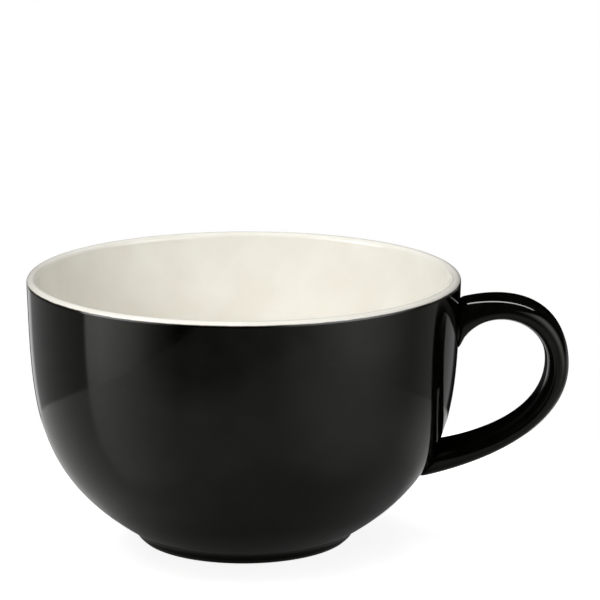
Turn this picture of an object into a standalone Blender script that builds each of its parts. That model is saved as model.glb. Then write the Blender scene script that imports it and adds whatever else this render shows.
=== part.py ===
"""Cappuccino mug: a stoneware bowl on a short foot ring, a handle stuck on with slip, and coats of glaze.

Metres, +Z up. The mug stands on z = 0 with its handle towards +X, and the origin is the middle of its
footprint. Diameters, heights and thicknesses of the bowl and handle are measured over the glaze.
"""

import math
from functools import lru_cache

import bmesh
import bpy
from mathutils import Vector
from mathutils.geometry import interpolate_bezier

# Bowl
RIM_DIAMETER = 0.1200
HEIGHT = 0.0751
LIP_THICKNESS = 0.0030
WALL_THICKNESS = 0.0055
WALL_DRAFT = math.radians(1.8)
WALL_FULLNESS = 0.489
BELLY_RISE = math.radians(31.9)
BELLY_FULLNESS = 0.993
WALL_TAPER_POWER = 3
FLOOR_DISH = 0.0010
FLOOR_FULLNESS = 0.5

# Foot ring
FOOT_DIAMETER = 0.0626
FOOT_HEIGHT = 0.0038
FOOT_BEVEL_WIDTH = 0.0040
FOOT_BEVEL_HEIGHT = 0.0027
FOOT_BEVEL_FULLNESS = 0.667
FOOT_BARE_HEIGHT = 0.0011
STANDING_RING_WIDTH = 0.0040
RECESS_DEPTH = 0.0028
RECESS_DRAFT = math.radians(15.0)

# Handle
HANDLE_OVERHANG = 0.0301
HANDLE_THICKNESS = 0.0063
HANDLE_WIDTH = 0.0170
BEND_DROP = 0.0250
UPPER_ROOT_DROP = 0.0072
UPPER_ROOT_LENGTH = 0.0136
LOWER_ROOT_RISE = 0.0177
LOWER_ROOT_LENGTH = 0.0092
UPPER_OUTER_ANGLE = math.radians(13.0)
UPPER_INNER_ANGLE = math.radians(75.1)
LOWER_OUTER_ANGLE = math.radians(12.5)
LOWER_INNER_ANGLE = math.radians(9.5)

# Power of the handle's section, from an oval at 2 towards a box
HANDLE_SQUARENESS = 2.8

# Share of its span that an edge curve holds its direction: at the root, above the bend, below it, at the end
OUTER_EDGE_FULLNESS = (0.689, 0.753, 0.491, 0.569)
INNER_EDGE_FULLNESS = (0.591, 0.815, 0.406, 0.783)

# Coats and joints
GLAZE_THICKNESS = 0.0005
SEAM = 0.0003
SLIP_THICKNESS = 0.0010
BASE_GLAZE_CLEARANCE = 0.0010
ROOT_RUN = 0.0120
CUTTER_REACH = 0.0016

# Facets
TURN_STEPS = 48
WALL_STEPS = 10
FLOOR_STEPS = 4
LIP_STEPS = 6
FOOT_STEPS = 4
HANDLE_SIDES = 24
HANDLE_STEPS = 10
CAP_RINGS = 3
BISECTIONS = 40
WELD_DISTANCE = 0.000001
SHARP_ANGLE = math.radians(40.0)

# Sizes that follow
COAT = SEAM + GLAZE_THICKNESS
RIM_RADIUS = RIM_DIAMETER / 2
FOOT_RADIUS = FOOT_DIAMETER / 2
STANDING_RADIUS = FOOT_RADIUS - FOOT_BEVEL_WIDTH
LIP_RADIUS = LIP_THICKNESS / 2
LIP_HEIGHT = HEIGHT - LIP_RADIUS
BOWL_AXIS_X = -HANDLE_OVERHANG / 2

# Colours, roughness
CLAY = ((0.62, 0.56, 0.47), 0.85)
SLIP = ((0.58, 0.52, 0.43), 0.90)
BLACK_GLAZE = ((0.010, 0.010, 0.009), 0.06)
CREAM_GLAZE = ((0.83, 0.80, 0.70), 0.10)


def direction(angle):
    """Unit vector in the (radius, height) plane, turned from the outward direction towards up."""
    return Vector((math.cos(angle), math.sin(angle)))


def curve(start, start_handle, end_handle, end, steps):
    """Points of one cubic curve in the (radius, height) plane."""
    return interpolate_bezier(start, start_handle, end_handle, end, steps + 1)


def end_side(point, side):
    """Side beyond the end of a path, mirrored on the axis and running straight on elsewhere."""
    return Vector((-side.x, side.y)) if point.x == 0.0 else side


def normals(path):
    """Outward miter vectors of a path whose solid lies on its right-hand side as it runs on."""
    sides = []
    for first, second in zip(path, path[1:]):
        run = (second - first).normalized()
        sides.append(Vector((-run.y, run.x)))
    before = [end_side(path[0], sides[0])] + sides
    after = sides + [end_side(path[-1], sides[-1])]
    return [(a + b) / (1 + a.dot(b)) for a, b in zip(before, after)]


def offset(path, distance):
    """The path moved out of its solid by a distance."""
    return [point + normal * distance for point, normal in zip(path, normals(path))]


# Clay outline, from the floor's middle up the inside, over the lip, down the outside and under the foot

def outside_path():
    """Outside of the clay wall, from just under the lip down to the foot ring."""
    start = Vector((RIM_RADIUS - COAT, LIP_HEIGHT - SEAM))
    end = Vector((FOOT_RADIUS - COAT, FOOT_HEIGHT))
    wall_reach = (start.y - end.y) * WALL_FULLNESS
    belly_reach = (start.x - end.x) * BELLY_FULLNESS / math.cos(BELLY_RISE)
    wall_handle = start - Vector((math.sin(WALL_DRAFT), math.cos(WALL_DRAFT))) * wall_reach
    return curve(start, wall_handle, end + direction(BELLY_RISE) * belly_reach, end, WALL_STEPS)


def inside_path(outside):
    """Inside of the clay wall, from the middle of the floor up to the lip."""
    lip = LIP_THICKNESS - 2 * COAT
    wall = WALL_THICKNESS - 2 * COAT
    rising = outside[::-1]
    inner = []
    for index, (point, normal) in enumerate(zip(rising, normals(rising))):
        share = index / WALL_STEPS
        inner.append(point + normal * (wall + (lip - wall) * share ** WALL_TAPER_POWER))
    inner[-1] = Vector((RIM_RADIUS - LIP_THICKNESS + COAT, LIP_HEIGHT))
    heel = inner[0]
    floor_height = heel.y - FLOOR_DISH
    heel_handle = Vector((heel.x - FLOOR_DISH / math.tan(BELLY_RISE), floor_height))
    middle = Vector((0.0, floor_height))
    floor = curve(middle, middle.lerp(heel_handle, FLOOR_FULLNESS), heel_handle, heel, FLOOR_STEPS)
    return floor + inner[1:]


def lip_path():
    """Rounded top of the clay wall, from its inside to its outside."""
    middle = Vector((RIM_RADIUS - LIP_RADIUS, LIP_HEIGHT))
    turns = [math.pi * (1 - step / LIP_STEPS) for step in range(LIP_STEPS + 1)]
    return [middle + direction(turn) * (LIP_RADIUS - COAT) for turn in turns]


def foot_path(notch):
    """Glazed side of the foot ring, from the notch under the bowl down round its bevel to the bare clay."""
    corner = Vector((notch.x, FOOT_BEVEL_HEIGHT))
    standing_edge = Vector((STANDING_RADIUS, 0.0))
    glaze_line = standing_edge.lerp(corner, FOOT_BARE_HEIGHT / FOOT_BEVEL_HEIGHT)
    notch_handle = notch.lerp(corner, FOOT_BEVEL_FULLNESS)
    line_handle = glaze_line.lerp(corner, FOOT_BEVEL_FULLNESS)
    return curve(notch, notch_handle, line_handle, glaze_line, FOOT_STEPS)


def recess_path(start_height):
    """Hollow inside the foot ring, from a height on its wall up to its roof and in to the middle."""
    ring_inner = STANDING_RADIUS - STANDING_RING_WIDTH
    start = Vector((ring_inner - start_height * math.tan(RECESS_DRAFT), start_height))
    corner = Vector((ring_inner - RECESS_DEPTH * math.tan(RECESS_DRAFT), RECESS_DEPTH))
    return [start, corner, Vector((0.0, RECESS_DEPTH))]


OUTSIDE = outside_path()
INSIDE = inside_path(OUTSIDE)
LIP = lip_path()
FOOT = foot_path(OUTSIDE[-1])


@lru_cache(maxsize=None)
def bowl_surface(clearance):
    """Outline of the finished bowl's wall with a clearance added square to it, from the lip down."""
    return offset(OUTSIDE, COAT + clearance)


def bowl_radius(height, clearance):
    """Radius of the finished bowl at a height, with a clearance added square to its surface."""
    surface = bowl_surface(clearance)
    for upper, lower in zip(surface, surface[1:]):
        if lower.y <= height <= upper.y:
            share = (upper.y - height) / (upper.y - lower.y)
            return upper.x + (lower.x - upper.x) * share
    return surface[0].x if height > surface[0].y else surface[-1].x


# Handle edges, in the upright plane through the bowl's axis

def edge_arcs(root, root_angle, bend, lower_root, lower_angle, crown, fullness):
    """Two arcs of one edge: out from its upper root, upright at the bend and back to its lower root."""
    at_root, above_bend, below_bend, at_lower_root = fullness
    up = Vector((0.0, 1.0))
    root_handle = root + direction(root_angle) * (bend.x - root.x) * at_root
    upper_handle = bend + up * (crown - bend.y) * above_bend
    lower_handle = bend - up * (bend.y - lower_root.y) * below_bend
    end_handle = lower_root + direction(lower_angle) * (bend.x - lower_root.x) * at_lower_root
    return (root, root_handle, upper_handle, bend), (bend, lower_handle, end_handle, lower_root)


def on_bowl(height):
    """Point of the finished bowl's outline at a height."""
    return Vector((bowl_radius(height, 0.0), height))


def handle_edges():
    """Arcs of the outer and the inner edge of the finished handle."""
    crown = HEIGHT - UPPER_ROOT_DROP
    bend_height = HEIGHT - BEND_DROP
    outer_bend = Vector((RIM_RADIUS + HANDLE_OVERHANG, bend_height))
    inner_bend = Vector((outer_bend.x - HANDLE_THICKNESS, bend_height))
    lower_top = LOWER_ROOT_RISE + LOWER_ROOT_LENGTH
    outer = edge_arcs(on_bowl(crown), UPPER_OUTER_ANGLE, outer_bend,
                      on_bowl(LOWER_ROOT_RISE), LOWER_OUTER_ANGLE, crown, OUTER_EDGE_FULLNESS)
    inner = edge_arcs(on_bowl(crown - UPPER_ROOT_LENGTH), UPPER_INNER_ANGLE, inner_bend,
                      on_bowl(lower_top), LOWER_INNER_ANGLE, crown, INNER_EDGE_FULLNESS)
    return outer, inner


OUTER_EDGE, INNER_EDGE = handle_edges()

# Travel along the handle: its two roots, and the bend between them
UPPER_ROOT, BEND, LOWER_ROOT = 0.0, 1.0, 2.0


def edge_point(arcs, travel, inset):
    """Point of an edge, moved to its right by an inset; past its roots an edge runs straight on."""
    on_edge = min(max(travel, UPPER_ROOT), LOWER_ROOT)
    first, first_handle, last_handle, last = arcs[0] if on_edge < BEND else arcs[1]
    share = on_edge if on_edge < BEND else on_edge - BEND
    rest = 1 - share
    place = first * rest ** 3 + last * share ** 3
    place += (first_handle * rest + last_handle * share) * 3 * rest * share
    run = (first_handle - first) * rest ** 2 + (last - last_handle) * share ** 2
    run += (last_handle - first_handle) * 2 * rest * share
    run.normalize()
    return place + run * (travel - on_edge) * ROOT_RUN + Vector((run.y, -run.x)) * inset


def squared(share):
    """A sine or cosine drawn out towards its ends, which makes a box with round corners of a circle."""
    return math.copysign(abs(share) ** (2 / HANDLE_SQUARENESS), share)


def handle_point(travel, turn, inset, scale):
    """Point of the handle's section, drawn in by an inset and scaled about the section's middle."""
    outer = edge_point(OUTER_EDGE, travel, inset)
    inner = edge_point(INNER_EDGE, travel, -inset)
    flat = (outer + inner) / 2 + (outer - inner) / 2 * squared(math.cos(turn)) * scale
    return Vector((flat.x, (HANDLE_WIDTH / 2 - inset) * squared(math.sin(turn)) * scale, flat.y))


def landing(root, turn, inset, clearance, scale):
    """Travel at which one lengthwise line of the handle comes within a clearance of the finished bowl."""
    buried, free = root + (root - BEND), BEND
    for _ in range(BISECTIONS):
        middle = (buried + free) / 2
        point = handle_point(middle, turn, inset, scale)
        if math.hypot(point.x, point.y) > bowl_radius(point.z, clearance):
            free = middle
        else:
            buried = middle
    return free


def handle_turns():
    """Turns about the handle's middle line at which its lengthwise lines run."""
    return [2 * math.pi * side / HANDLE_SIDES for side in range(HANDLE_SIDES)]


def root_ring(root, inset, clearance, scale=1.0):
    """Ring round one root of the handle, a clearance off the finished bowl."""
    ring = []
    for turn in handle_turns():
        travel = landing(root, turn, inset, clearance, scale)
        ring.append(handle_point(travel, turn, inset, scale))
    return ring


def handle_rings(inset, clearance):
    """Rings from the upper root to the lower one, with both ends a clearance off the finished bowl."""
    lines = []
    for turn in handle_turns():
        upper = landing(UPPER_ROOT, turn, inset, clearance, 1.0)
        lower = landing(LOWER_ROOT, turn, inset, clearance, 1.0)
        shares = [step / HANDLE_STEPS for step in range(HANDLE_STEPS + 1)]
        travels = [upper + (BEND - upper) * share for share in shares]
        travels += [BEND + (lower - BEND) * share for share in shares[1:]]
        lines.append([handle_point(travel, turn, inset, 1.0) for travel in travels])
    return list(zip(*lines))


# Solids

def make_object(name, mesh_data, colour, roughness, parent):
    """Finish a mesh as a named object with its own material, smooth except at its sharp edges."""
    bmesh.ops.recalc_face_normals(mesh_data, faces=mesh_data.faces)
    mesh = bpy.data.meshes.new(name)
    mesh_data.to_mesh(mesh)
    mesh_data.free()
    mesh.shade_smooth()
    mesh.set_sharp_from_angle(angle=SHARP_ANGLE)
    material = bpy.data.materials.new(name)
    material.use_nodes = True
    shader = material.node_tree.nodes["Principled BSDF"]
    shader.inputs["Base Color"].default_value = (*colour, 1.0)
    shader.inputs["Roughness"].default_value = roughness
    shader.inputs["Metallic"].default_value = 0.0
    mesh.materials.append(material)
    thing = bpy.data.objects.new(name, mesh)
    bpy.context.scene.collection.objects.link(thing)
    thing.parent = parent
    return thing


def turned(section, closed):
    """Spin a section of (radius, height) points about the axis."""
    mesh = bmesh.new()
    points = [mesh.verts.new((point.x, 0.0, point.y)) for point in section]
    edges = [mesh.edges.new(pair) for pair in zip(points, points[1:])]
    if closed:
        edges.append(mesh.edges.new((points[-1], points[0])))
    bmesh.ops.spin(mesh, geom=points + edges, axis=(0, 0, 1), cent=(0, 0, 0),
                   angle=2 * math.pi, steps=TURN_STEPS, use_merge=True)
    bmesh.ops.remove_doubles(mesh, verts=mesh.verts, dist=WELD_DISTANCE)
    return mesh


def coat_section(path):
    """Section of a coat of glaze that lies a seam off a path of the clay's outline."""
    return offset(path, COAT) + offset(path, SEAM)[::-1]


def bridge(mesh, first, second):
    """Skin between two rings of the same number of points."""
    count = len(first)
    for side in range(count):
        following = (side + 1) % count
        mesh.faces.new((first[side], first[following], second[following], second[side]))


def add_ring(mesh, ring):
    """Put a ring's points into a mesh."""
    return [mesh.verts.new(point) for point in ring]


def add_root_cap(mesh, rim, root, inset, clearance):
    """Close a root with rings that follow the bowl's curve, in to a middle point."""
    outer = rim
    for step in range(CAP_RINGS - 1, 0, -1):
        inner = add_ring(mesh, root_ring(root, inset, clearance, step / CAP_RINGS))
        bridge(mesh, outer, inner)
        outer = inner
    middle = mesh.verts.new(root_ring(root, inset, clearance, 0.0)[0])
    for side in range(HANDLE_SIDES):
        mesh.faces.new((outer[side], outer[(side + 1) % HANDLE_SIDES], middle))


def handle_skin(mesh, inset, clearance):
    """Skin along the handle; gives back its first and last ring."""
    rings = [add_ring(mesh, ring) for ring in handle_rings(inset, clearance)]
    for first, second in zip(rings, rings[1:]):
        bridge(mesh, first, second)
    return rings[0], rings[-1]


def make_bowl(parent):
    """Clay bowl and foot ring, bare where it stands."""
    standing_edge = Vector((STANDING_RADIUS, 0.0))
    outline = INSIDE + LIP[1:] + OUTSIDE + FOOT[1:] + [standing_edge] + recess_path(0.0)
    return make_object("stoneware_bowl", turned(outline, False), *CLAY, parent)


def make_inner_glaze(parent):
    """Cream coat over the floor, the inside wall and the lip."""
    section = coat_section(INSIDE + LIP[1:])
    return make_object("inner_glaze", turned(section, False), *CREAM_GLAZE, parent)


def make_outer_glaze(parent):
    """Black coat from under the lip to the foot ring's edge, open where the handle's roots pass through."""
    section = coat_section(OUTSIDE + FOOT[1:])
    coat = make_object("outer_glaze", turned(section, True), *BLACK_GLAZE, parent)
    for name, root in (("upper_root_cutter", UPPER_ROOT), ("lower_root_cutter", LOWER_ROOT)):
        cutter = make_root_cutter(name, root, parent)
        cut = coat.modifiers.new(name, "BOOLEAN")
        cut.operation = "DIFFERENCE"
        cut.solver = "EXACT"
        cut.object = cutter
    return coat


def make_root_cutter(name, root, parent):
    """Plug that opens the bowl's coat round a root, as wide as the inside of the handle's coat."""
    mesh = bmesh.new()
    inner = add_ring(mesh, root_ring(root, GLAZE_THICKNESS, -CUTTER_REACH))
    outer = add_ring(mesh, root_ring(root, GLAZE_THICKNESS, COAT))
    bridge(mesh, inner, outer)
    add_root_cap(mesh, inner, root, GLAZE_THICKNESS, -CUTTER_REACH)
    add_root_cap(mesh, outer, root, GLAZE_THICKNESS, COAT)
    cutter = make_object(name, mesh, *SLIP, parent)
    cutter.hide_render = True
    cutter.display_type = "WIRE"
    return cutter


def make_base_glaze(parent):
    """Black coat on the wall and roof of the hollow inside the foot ring."""
    path = recess_path(BASE_GLAZE_CLEARANCE)
    section = coat_section(path)
    from_axis = section[len(path):] + section[:len(path)]
    return make_object("base_glaze", turned(from_axis, False), *BLACK_GLAZE, parent)


def make_slip_joint(name, root, parent):
    """Pad of slip between the bowl's clay and one root of the handle's clay."""
    back = SEAM - COAT
    front = back + SLIP_THICKNESS
    mesh = bmesh.new()
    back_ring = add_ring(mesh, root_ring(root, COAT, back))
    front_ring = add_ring(mesh, root_ring(root, COAT, front))
    bridge(mesh, back_ring, front_ring)
    add_root_cap(mesh, back_ring, root, COAT, back)
    add_root_cap(mesh, front_ring, root, COAT, front)
    return make_object(name, mesh, *SLIP, parent)


def make_handle(parent):
    """Clay handle, with ends that follow the bowl and sit on the slip."""
    clearance = 2 * SEAM - COAT + SLIP_THICKNESS
    mesh = bmesh.new()
    upper, lower = handle_skin(mesh, COAT, clearance)
    add_root_cap(mesh, upper, UPPER_ROOT, COAT, clearance)
    add_root_cap(mesh, lower, LOWER_ROOT, COAT, clearance)
    return make_object("handle", mesh, *CLAY, parent)


def make_handle_glaze(parent):
    """Black coat round the handle, down to the bowl's coat at both roots."""
    mesh = bmesh.new()
    outer_ends = handle_skin(mesh, 0.0, SEAM)
    inner_ends = handle_skin(mesh, GLAZE_THICKNESS, SEAM)
    for outer, inner in zip(outer_ends, inner_ends):
        bridge(mesh, outer, inner)
    return make_object("handle_glaze", mesh, *BLACK_GLAZE, parent)


def main():
    for thing in list(bpy.data.objects):
        bpy.data.objects.remove(thing, do_unlink=True)
    axis = bpy.data.objects.new("bowl_axis", None)
    axis.location = (BOWL_AXIS_X, 0.0, 0.0)
    bpy.context.scene.collection.objects.link(axis)
    make_bowl(axis)
    make_inner_glaze(axis)
    make_outer_glaze(axis)
    make_base_glaze(axis)
    make_slip_joint("upper_slip_joint", UPPER_ROOT, axis)
    make_slip_joint("lower_slip_joint", LOWER_ROOT, axis)
    make_handle(axis)
    make_handle_glaze(axis)


main()
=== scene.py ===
# %% [markdown]
# # A cappuccino mug in black and cream glaze
# The imported model holds the mug's eight pieces at their real size, as coarse solids. This lesson gives them their
# looks, and reads the bowl's rim and the handle's size from the boxes around the solids. Nothing made here may grow
# out of it.

# %% Load the frame
import math

import bmesh
import bpy
import numpy as np
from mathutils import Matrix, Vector
from mathutils.geometry import interpolate_bezier


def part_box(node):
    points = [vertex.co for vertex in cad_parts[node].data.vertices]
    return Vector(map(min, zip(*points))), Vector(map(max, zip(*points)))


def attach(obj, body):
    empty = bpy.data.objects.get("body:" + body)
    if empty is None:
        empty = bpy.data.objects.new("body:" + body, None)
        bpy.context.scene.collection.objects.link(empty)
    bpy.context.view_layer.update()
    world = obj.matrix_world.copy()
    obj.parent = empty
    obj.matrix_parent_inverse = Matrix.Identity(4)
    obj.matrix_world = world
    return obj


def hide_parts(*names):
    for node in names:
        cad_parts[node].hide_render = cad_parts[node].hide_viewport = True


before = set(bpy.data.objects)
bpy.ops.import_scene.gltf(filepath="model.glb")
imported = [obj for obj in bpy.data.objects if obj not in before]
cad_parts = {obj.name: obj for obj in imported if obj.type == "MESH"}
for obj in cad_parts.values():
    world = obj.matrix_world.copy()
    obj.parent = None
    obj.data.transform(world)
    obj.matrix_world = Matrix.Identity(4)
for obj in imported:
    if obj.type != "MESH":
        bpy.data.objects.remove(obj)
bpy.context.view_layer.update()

print("pieces in the frame:", ", ".join(sorted(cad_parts)))

# %% [markdown]
# ## The camera
# A photograph taken from far away with a long lens shows little perspective. The eye stands 0.83 m in front of the
# mug and looks down by almost thirteen degrees. The lens follows from how many pixels one unit of slope covers in a
# picture of 600 pixels. The bowl's axis and its rim come from the frame, so the view follows the part.

# %% Set the camera
coat_low, coat_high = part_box("outer_glaze")
AXIS_X = (coat_low.x + coat_high.x) / 2
RIM_RADIUS = (coat_high.y - coat_low.y) / 2
EYE_FROM_AXIS = Vector((0.0155, -0.8250, 0.2535))
LOOK_DOWN = math.radians(12.7)
IMAGE_PIXELS = 600
PIXELS_PER_SLOPE = 3052.0
SENSOR_WIDTH = 36.0

camera_data = bpy.data.cameras.new("camera")
camera_data.sensor_width = SENSOR_WIDTH
camera_data.lens = PIXELS_PER_SLOPE * SENSOR_WIDTH / IMAGE_PIXELS
camera = bpy.data.objects.new("camera", camera_data)
camera.location = Vector((AXIS_X, 0.0, 0.0)) + EYE_FROM_AXIS
camera.rotation_euler = (math.pi / 2 - LOOK_DOWN, 0.0, 0.0)
bpy.context.scene.collection.objects.link(camera)
bpy.context.scene.camera = camera
print(f"lens {camera_data.lens:.1f} mm, bowl axis at x = {AXIS_X * 1000:.1f} mm")

# %% [markdown]
# ## Outlines of the turned pieces
# A potter's bowl is round, so one outline in the plane of radius and height says all of it. The outside wall is one
# cubic curve, nearly upright under the lip and slanting in to the foot. The coats of glaze follow the clay at a
# fixed distance, so each is the clay's outline moved out along its normals. A drawn list of points could do the
# same, but curves keep the reflections in the glaze free of bumps.

# %% Outline helpers
def direction(angle):
    """Unit vector at an angle, turned from the first axis of a plane towards the second."""
    return Vector((math.cos(angle), math.sin(angle)))


def curve(start, start_handle, end_handle, end, steps):
    """Points of one cubic curve in the (radius, height) plane."""
    return interpolate_bezier(start, start_handle, end_handle, end, steps + 1)


def end_side(point, side):
    """Side beyond the end of a path, mirrored on the axis and running straight on elsewhere."""
    return Vector((-side.x, side.y)) if point.x == 0.0 else side


def normals(path):
    """Outward miter vectors of a path whose solid lies on its right-hand side as it runs on."""
    sides = []
    for first, second in zip(path, path[1:]):
        run = (second - first).normalized()
        sides.append(Vector((-run.y, run.x)))
    before = [end_side(path[0], sides[0])] + sides
    after = sides + [end_side(path[-1], sides[-1])]
    return [(a + b) / (1 + a.dot(b)) for a, b in zip(before, after)]


def offset(path, distance):
    """The path moved out of its solid by a distance."""
    return [point + normal * distance for point, normal in zip(path, normals(path))]


# A cubic whose handles lie this far towards one corner is the plain quadratic curve of that corner
QUADRATIC = 2 / 3


def soften(path, corner, reach, steps):
    """The path with one sharp corner rounded, from a reach before it to a reach after it."""
    before = [point for point in path[:path.index(corner)] if (point - corner).length > reach]
    after = [point for point in path[path.index(corner) + 1:] if (point - corner).length > reach]
    first = corner + (before[-1] - corner).normalized() * reach
    last = corner + (after[0] - corner).normalized() * reach
    rounded = curve(first, first.lerp(corner, QUADRATIC), last.lerp(corner, QUADRATIC), last, steps)
    return before + rounded + after


# %% Outline of the clay
HEIGHT = 0.0751
LIP_THICKNESS = 0.0030
WALL_THICKNESS = 0.0055
WALL_DRAFT = math.radians(1.8)
WALL_FULLNESS = 0.489
WALL_TAPER_POWER = 3
BELLY_RISE = math.radians(31.9)
BELLY_FULLNESS = 0.993
FLOOR_DISH = 0.0010
FOOT_RADIUS = 0.0313
FOOT_HEIGHT = 0.0038
FOOT_BEVEL_WIDTH = 0.0040
FOOT_BEVEL_HEIGHT = 0.0027
FOOT_BARE_HEIGHT = 0.0011
STANDING_RING_WIDTH = 0.0040
RECESS_DEPTH = 0.0028
RECESS_DRAFT = math.radians(15.0)
GLAZE_THICKNESS = 0.0005
SEAM = 0.0003
COAT = SEAM + GLAZE_THICKNESS
LIP_RADIUS = LIP_THICKNESS / 2
LIP_HEIGHT = HEIGHT - LIP_RADIUS
STANDING_RADIUS = FOOT_RADIUS - FOOT_BEVEL_WIDTH
WALL_STEPS = 72
FLOOR_STEPS = 24
LIP_STEPS = 24
FOOT_STEPS = 12


def outside_outline():
    """Clay wall from just under the lip down to the foot ring."""
    start = Vector((RIM_RADIUS - COAT, LIP_HEIGHT))
    end = Vector((FOOT_RADIUS - COAT, FOOT_HEIGHT))
    wall_reach = (start.y - SEAM - end.y) * WALL_FULLNESS
    belly_reach = (start.x - end.x) * BELLY_FULLNESS / math.cos(BELLY_RISE)
    wall_handle = start - Vector((math.sin(WALL_DRAFT), math.cos(WALL_DRAFT))) * wall_reach
    return curve(start, wall_handle, end + direction(BELLY_RISE) * belly_reach, end, WALL_STEPS)


def inside_outline(outside):
    """Clay wall from the middle of the floor up to the lip, thinning as it rises."""
    lip = LIP_THICKNESS - 2 * COAT
    wall = WALL_THICKNESS - 2 * COAT
    rising = outside[::-1]
    inner = []
    for index, (point, normal) in enumerate(zip(rising, normals(rising))):
        share = index / WALL_STEPS
        inner.append(point + normal * (wall + (lip - wall) * share ** WALL_TAPER_POWER))
    inner[-1] = Vector((RIM_RADIUS - LIP_THICKNESS + COAT, LIP_HEIGHT))
    heel = inner[0]
    middle = Vector((0.0, heel.y - FLOOR_DISH))
    heel_handle = Vector((heel.x - FLOOR_DISH / math.tan(BELLY_RISE), middle.y))
    floor = curve(middle, middle.lerp(heel_handle, 0.5), heel_handle, heel, FLOOR_STEPS)
    return floor + inner[1:]


def lip_outline():
    """Rounded top of the clay wall, from its inside to its outside."""
    middle = Vector((RIM_RADIUS - LIP_RADIUS, LIP_HEIGHT))
    turns = [math.pi * (1 - step / LIP_STEPS) for step in range(LIP_STEPS + 1)]
    return [middle + direction(turn) * (LIP_RADIUS - COAT) for turn in turns]


def foot_outline(notch):
    """Side of the foot ring, from the notch under the bowl down round its bevel to the bare clay."""
    corner = Vector((notch.x, FOOT_BEVEL_HEIGHT))
    standing_edge = Vector((STANDING_RADIUS, 0.0))
    glaze_line = standing_edge.lerp(corner, FOOT_BARE_HEIGHT / FOOT_BEVEL_HEIGHT)
    return curve(notch, notch.lerp(corner, QUADRATIC), glaze_line.lerp(corner, QUADRATIC), glaze_line, FOOT_STEPS)


def recess_outline(start_height):
    """Hollow inside the foot ring, from a height on its wall up to its roof and in to the middle."""
    ring_inner = STANDING_RADIUS - STANDING_RING_WIDTH
    start = Vector((ring_inner - start_height * math.tan(RECESS_DRAFT), start_height))
    corner = Vector((ring_inner - RECESS_DEPTH * math.tan(RECESS_DRAFT), RECESS_DEPTH))
    return [start, corner, Vector((0.0, RECESS_DEPTH))]


OUTSIDE = outside_outline()
INSIDE = inside_outline(OUTSIDE)
LIP = lip_outline()
FOOT = foot_outline(OUTSIDE[-1])
print(f"outline points: {len(INSIDE)} inside, {len(LIP)} lip, {len(OUTSIDE)} outside, {len(FOOT)} foot")

# %% [markdown]
# ## Turning an outline into a piece
# Blender can turn an outline with a Screw modifier or with the spin operator. Spin welds its ends, and the order of
# the points then changed from run to run, which changed the cuts for the handle a little. So each point of the
# outline is laid out as a ring here, and faces join the rings. A point on the axis stays one point. Each piece gets
# its origin on the bowl's axis, so that its material can measure radius and height from there.

# %% Turned pieces
TURN_STEPS = 224
SHARP_ANGLE = math.radians(40.0)


def finish_mesh(mesh_data, mesh):
    """Write a closed mesh, smooth except at its sharp edges."""
    bmesh.ops.recalc_face_normals(mesh_data, faces=mesh_data.faces)
    mesh_data.to_mesh(mesh)
    mesh_data.free()
    mesh.shade_smooth()
    mesh.set_sharp_from_angle(angle=SHARP_ANGLE)


def add_piece(name, mesh_data, slot, *nodes):
    """A named piece on the bowl's axis that stands for some of the frame's nodes."""
    mesh = bpy.data.meshes.new(name)
    finish_mesh(mesh_data, mesh)
    piece = bpy.data.objects.new(name, mesh)
    piece.location = (AXIS_X, 0.0, 0.0)
    bpy.context.scene.collection.objects.link(piece)
    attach(piece, "root")
    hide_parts(*nodes)
    print(f"{name}: {len(mesh.polygons)} faces")
    return piece


def bridge(mesh, first, second):
    """Skin between two rings of as many points, in triangles where a ring is one point repeated."""
    for side in range(len(first)):
        following = (side + 1) % len(first)
        corners = (first[side], first[following], second[following], second[side])
        mesh.faces.new(tuple(dict.fromkeys(corners)))


def turned(section, closed=False):
    """Skin of a section of (radius, height) points turned about the axis; a closed one ends where it starts."""
    mesh = bmesh.new()
    spokes = [direction(2 * math.pi * step / TURN_STEPS) for step in range(TURN_STEPS)]
    rings = []
    for point in section:
        if point.x == 0.0:
            rings.append([mesh.verts.new((0.0, 0.0, point.y))] * TURN_STEPS)
        else:
            rings.append([mesh.verts.new((*(spoke * point.x), point.y)) for spoke in spokes])
    following_rings = rings[1:] + rings[:1] if closed else rings[1:]
    for first, second in zip(rings, following_rings):
        bridge(mesh, first, second)
    return mesh


def coat_section(path):
    """Section of a coat of glaze that lies a seam off a path of the clay's outline."""
    return offset(path, COAT) + offset(path, SEAM)[::-1]


# %% [markdown]
# ## The clay bowl
# Under the glaze is one piece of stoneware. It shows only where the glaze was wiped off, on the ring that the mug
# stands on, because glaze would fuse to the kiln shelf. It is turned whole all the same, so that the ring has the
# right edges.

# %% Clay bowl
standing_edge = Vector((STANDING_RADIUS, 0.0))
clay_outline = INSIDE + LIP[1:] + OUTSIDE[1:] + FOOT[1:] + [standing_edge] + recess_outline(0.0)
clay_bowl = add_piece("clay_bowl", turned(clay_outline), "stoneware", "stoneware_bowl")

# %% [markdown]
# ## The cream lining
# The inside was glazed first, by pouring cream glaze in and out again, and it runs over the lip. The piece goes down
# to the lip's outermost line. The change to black lies on its outer shoulder and is left to the material, since two
# glazes melt into each other there and no edge can be felt.

# %% Cream lining
cream_lining = add_piece("cream_lining", turned(coat_section(INSIDE + LIP[1:])), "cream_glaze", "inner_glaze")

# %% [markdown]
# ## The black coat
# The outside was dipped in black glaze up to the lip. Glaze is thick while it melts, so it fills the notch above the
# foot ring with a small round. At the foot the coat ends in a rounded edge just above the table. A second small coat
# covers the hollow under the foot.

# %% Black coats of the bowl
NOTCH_REACH = 0.0016
NOTCH_STEPS = 10
BASE_GLAZE_CLEARANCE = 0.0010
EDGE_STEPS = 6


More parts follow.
